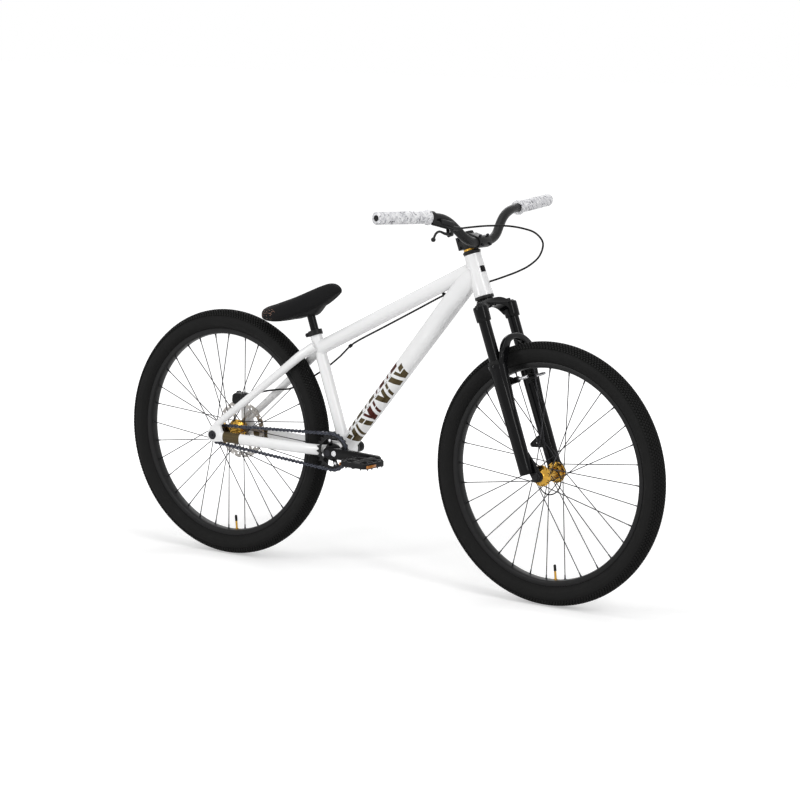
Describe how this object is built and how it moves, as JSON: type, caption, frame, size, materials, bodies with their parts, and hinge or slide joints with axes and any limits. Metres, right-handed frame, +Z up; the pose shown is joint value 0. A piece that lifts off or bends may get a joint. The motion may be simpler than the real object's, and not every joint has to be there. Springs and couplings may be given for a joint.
{
  "type": "dirt jump bike",
  "caption": "Dirt jump bike with a sloping rigid frame, a suspension fork, one rear disc brake, wide riser bar, flat pedals and a single-speed chain drive.",
  "frame": {"origin": "on the ground, midway between the two wheel axles, in the bike's middle plane", "axes": "+X forward, +Y to the rider's left, +Z up"},
  "size_m": [1.713, 0.7706, 1.0071],
  "materials": {
    "frame_paint": "gloss white paint",
    "black_gloss": "gloss black",
    "black_alloy": "matte black anodised",
    "gold_alloy": "gold anodised",
    "dark_steel": "dark, slightly oily steel",
    "rotor_steel": "brushed",
    "tyre": "black rubber",
    "black_rubber": "smooth black",
    "grip_rubber": "marbled white and grey",
    "black_plastic": "matte black",
    "saddle_cover": "black synthetic cover"
  },
  "bodies": {
    "frame": {"head_tube": "frame_paint", "top_tube": "frame_paint", "down_tube": "frame_paint", "seat_tube": "frame_paint", "bottom_bracket_shell": "frame_paint", "right_seat_stay": "frame_paint", "left_seat_stay": "frame_paint", "right_chain_stay": "frame_paint", "left_chain_stay": "frame_paint", "right_dropout": "frame_paint", "left_dropout": "frame_paint", "lower_headset_cup": "black_alloy", "upper_headset_cup": "black_alloy", "right_bracket_cup": "black_alloy", "left_bracket_cup": "black_alloy", "seat_clamp": "black_alloy", "rear_axle": "dark_steel", "brake_caliper": "black_alloy", "brake_hose": "black_rubber", "chain": "dark_steel"},
    "saddle_post": {"seat_post": "black_alloy", "saddle_base": "black_plastic", "saddle": "saddle_cover"},
    "crankset": {"spindle": "dark_steel", "chainring": "black_alloy", "right_crank_arm": "black_alloy", "left_crank_arm": "black_alloy", "right_pedal_axle": "dark_steel", "left_pedal_axle": "dark_steel"},
    "right_pedal_body": {"right_pedal": "black_alloy"},
    "left_pedal_body": {"left_pedal": "black_alloy"},
    "rear_wheel": {"rear_tyre": "tyre", "rear_rim": "black_gloss", "rear_spokes_right": "dark_steel", "rear_spokes_left": "dark_steel", "rear_hub": "gold_alloy", "brake_rotor": "rotor_steel"},
    "cog_driver": {"rear_cog": "rotor_steel", "freehub_body": "dark_steel"},
    "steering": {"steerer_tube": "dark_steel", "fork_crown": "black_gloss", "right_stanchion": "black_gloss", "left_stanchion": "black_gloss", "headset_spacer": "gold_alloy", "stem": "black_alloy", "stem_faceplate": "black_alloy", "top_cap": "black_alloy", "handlebar": "black_alloy", "right_grip": "grip_rubber", "left_grip": "grip_rubber", "lever_perch": "black_alloy", "brake_hose_loop": "black_rubber"},
    "lever_blade": {"brake_lever": "black_alloy"},
    "lowers": {"fork_lowers": "black_gloss", "front_axle": "dark_steel"},
    "front_wheel": {"front_tyre": "tyre", "front_rim": "black_gloss", "front_spokes_right": "dark_steel", "front_spokes_left": "dark_steel", "front_hub": "gold_alloy"}
  },
  "joints": [
    {"name": "steering_turn", "type": "hinge", "parent": "frame", "child": "steering", "pos_m": [0.31448, 0, 0.7725], "axis": [-0.342, 0, 0.9397], "range_deg": [-60, 60], "deforming": ["brake_hose_loop"]},
    {"name": "fork_travel", "type": "slide", "parent": "steering", "child": "lowers", "axis": [-0.342, 0, 0.9397], "range_m": [0, 0.085], "stiffness_N_per_m": 5000},
    {"name": "front_wheel_spin", "type": "hinge", "parent": "lowers", "child": "front_wheel", "pos_m": [0.52, 0, 0.3365], "axis": [0, 1, 0], "continuous": true},
    {"name": "rear_wheel_spin", "type": "hinge", "parent": "frame", "child": "rear_wheel", "pos_m": [-0.52, 0, 0.3365], "axis": [0, 1, 0], "continuous": true},
    {"name": "crank_spin", "type": "hinge", "parent": "frame", "child": "crankset", "pos_m": [-0.12777, 0, 0.329], "axis": [0, 1, 0], "continuous": true},
    {"name": "cog_spin", "type": "hinge", "parent": "frame", "child": "cog_driver", "pos_m": [-0.52, 0, 0.3365], "axis": [0, 1, 0], "continuous": true},
    {"name": "right_pedal_spin", "type": "hinge", "parent": "crankset", "child": "right_pedal_body", "pos_m": [0.03723, -0.14, 0.329], "axis": [0, 1, 0], "continuous": true},
    {"name": "left_pedal_spin", "type": "hinge", "parent": "crankset", "child": "left_pedal_body", "pos_m": [-0.29277, 0.14, 0.329], "axis": [0, 1, 0], "continuous": true},
    {"name": "brake_lever_pull", "type": "hinge", "parent": "steering", "child": "lever_blade", "pos_m": [0.30425, -0.14, 0.93799], "axis": [-0.9397, 0, -0.342], "range_deg": [0, 14], "stiffness_Nm_per_rad": 0.8},
    {"name": "saddle_height", "type": "slide", "parent": "frame", "child": "saddle_post", "axis": [-0.3272, 0, 0.9449], "range_m": [-0.01, 0.1]}
  ],
  "couplings": [
    {"joint": "cog_spin", "follows": "crank_spin", "ratio": 2}
  ]
}
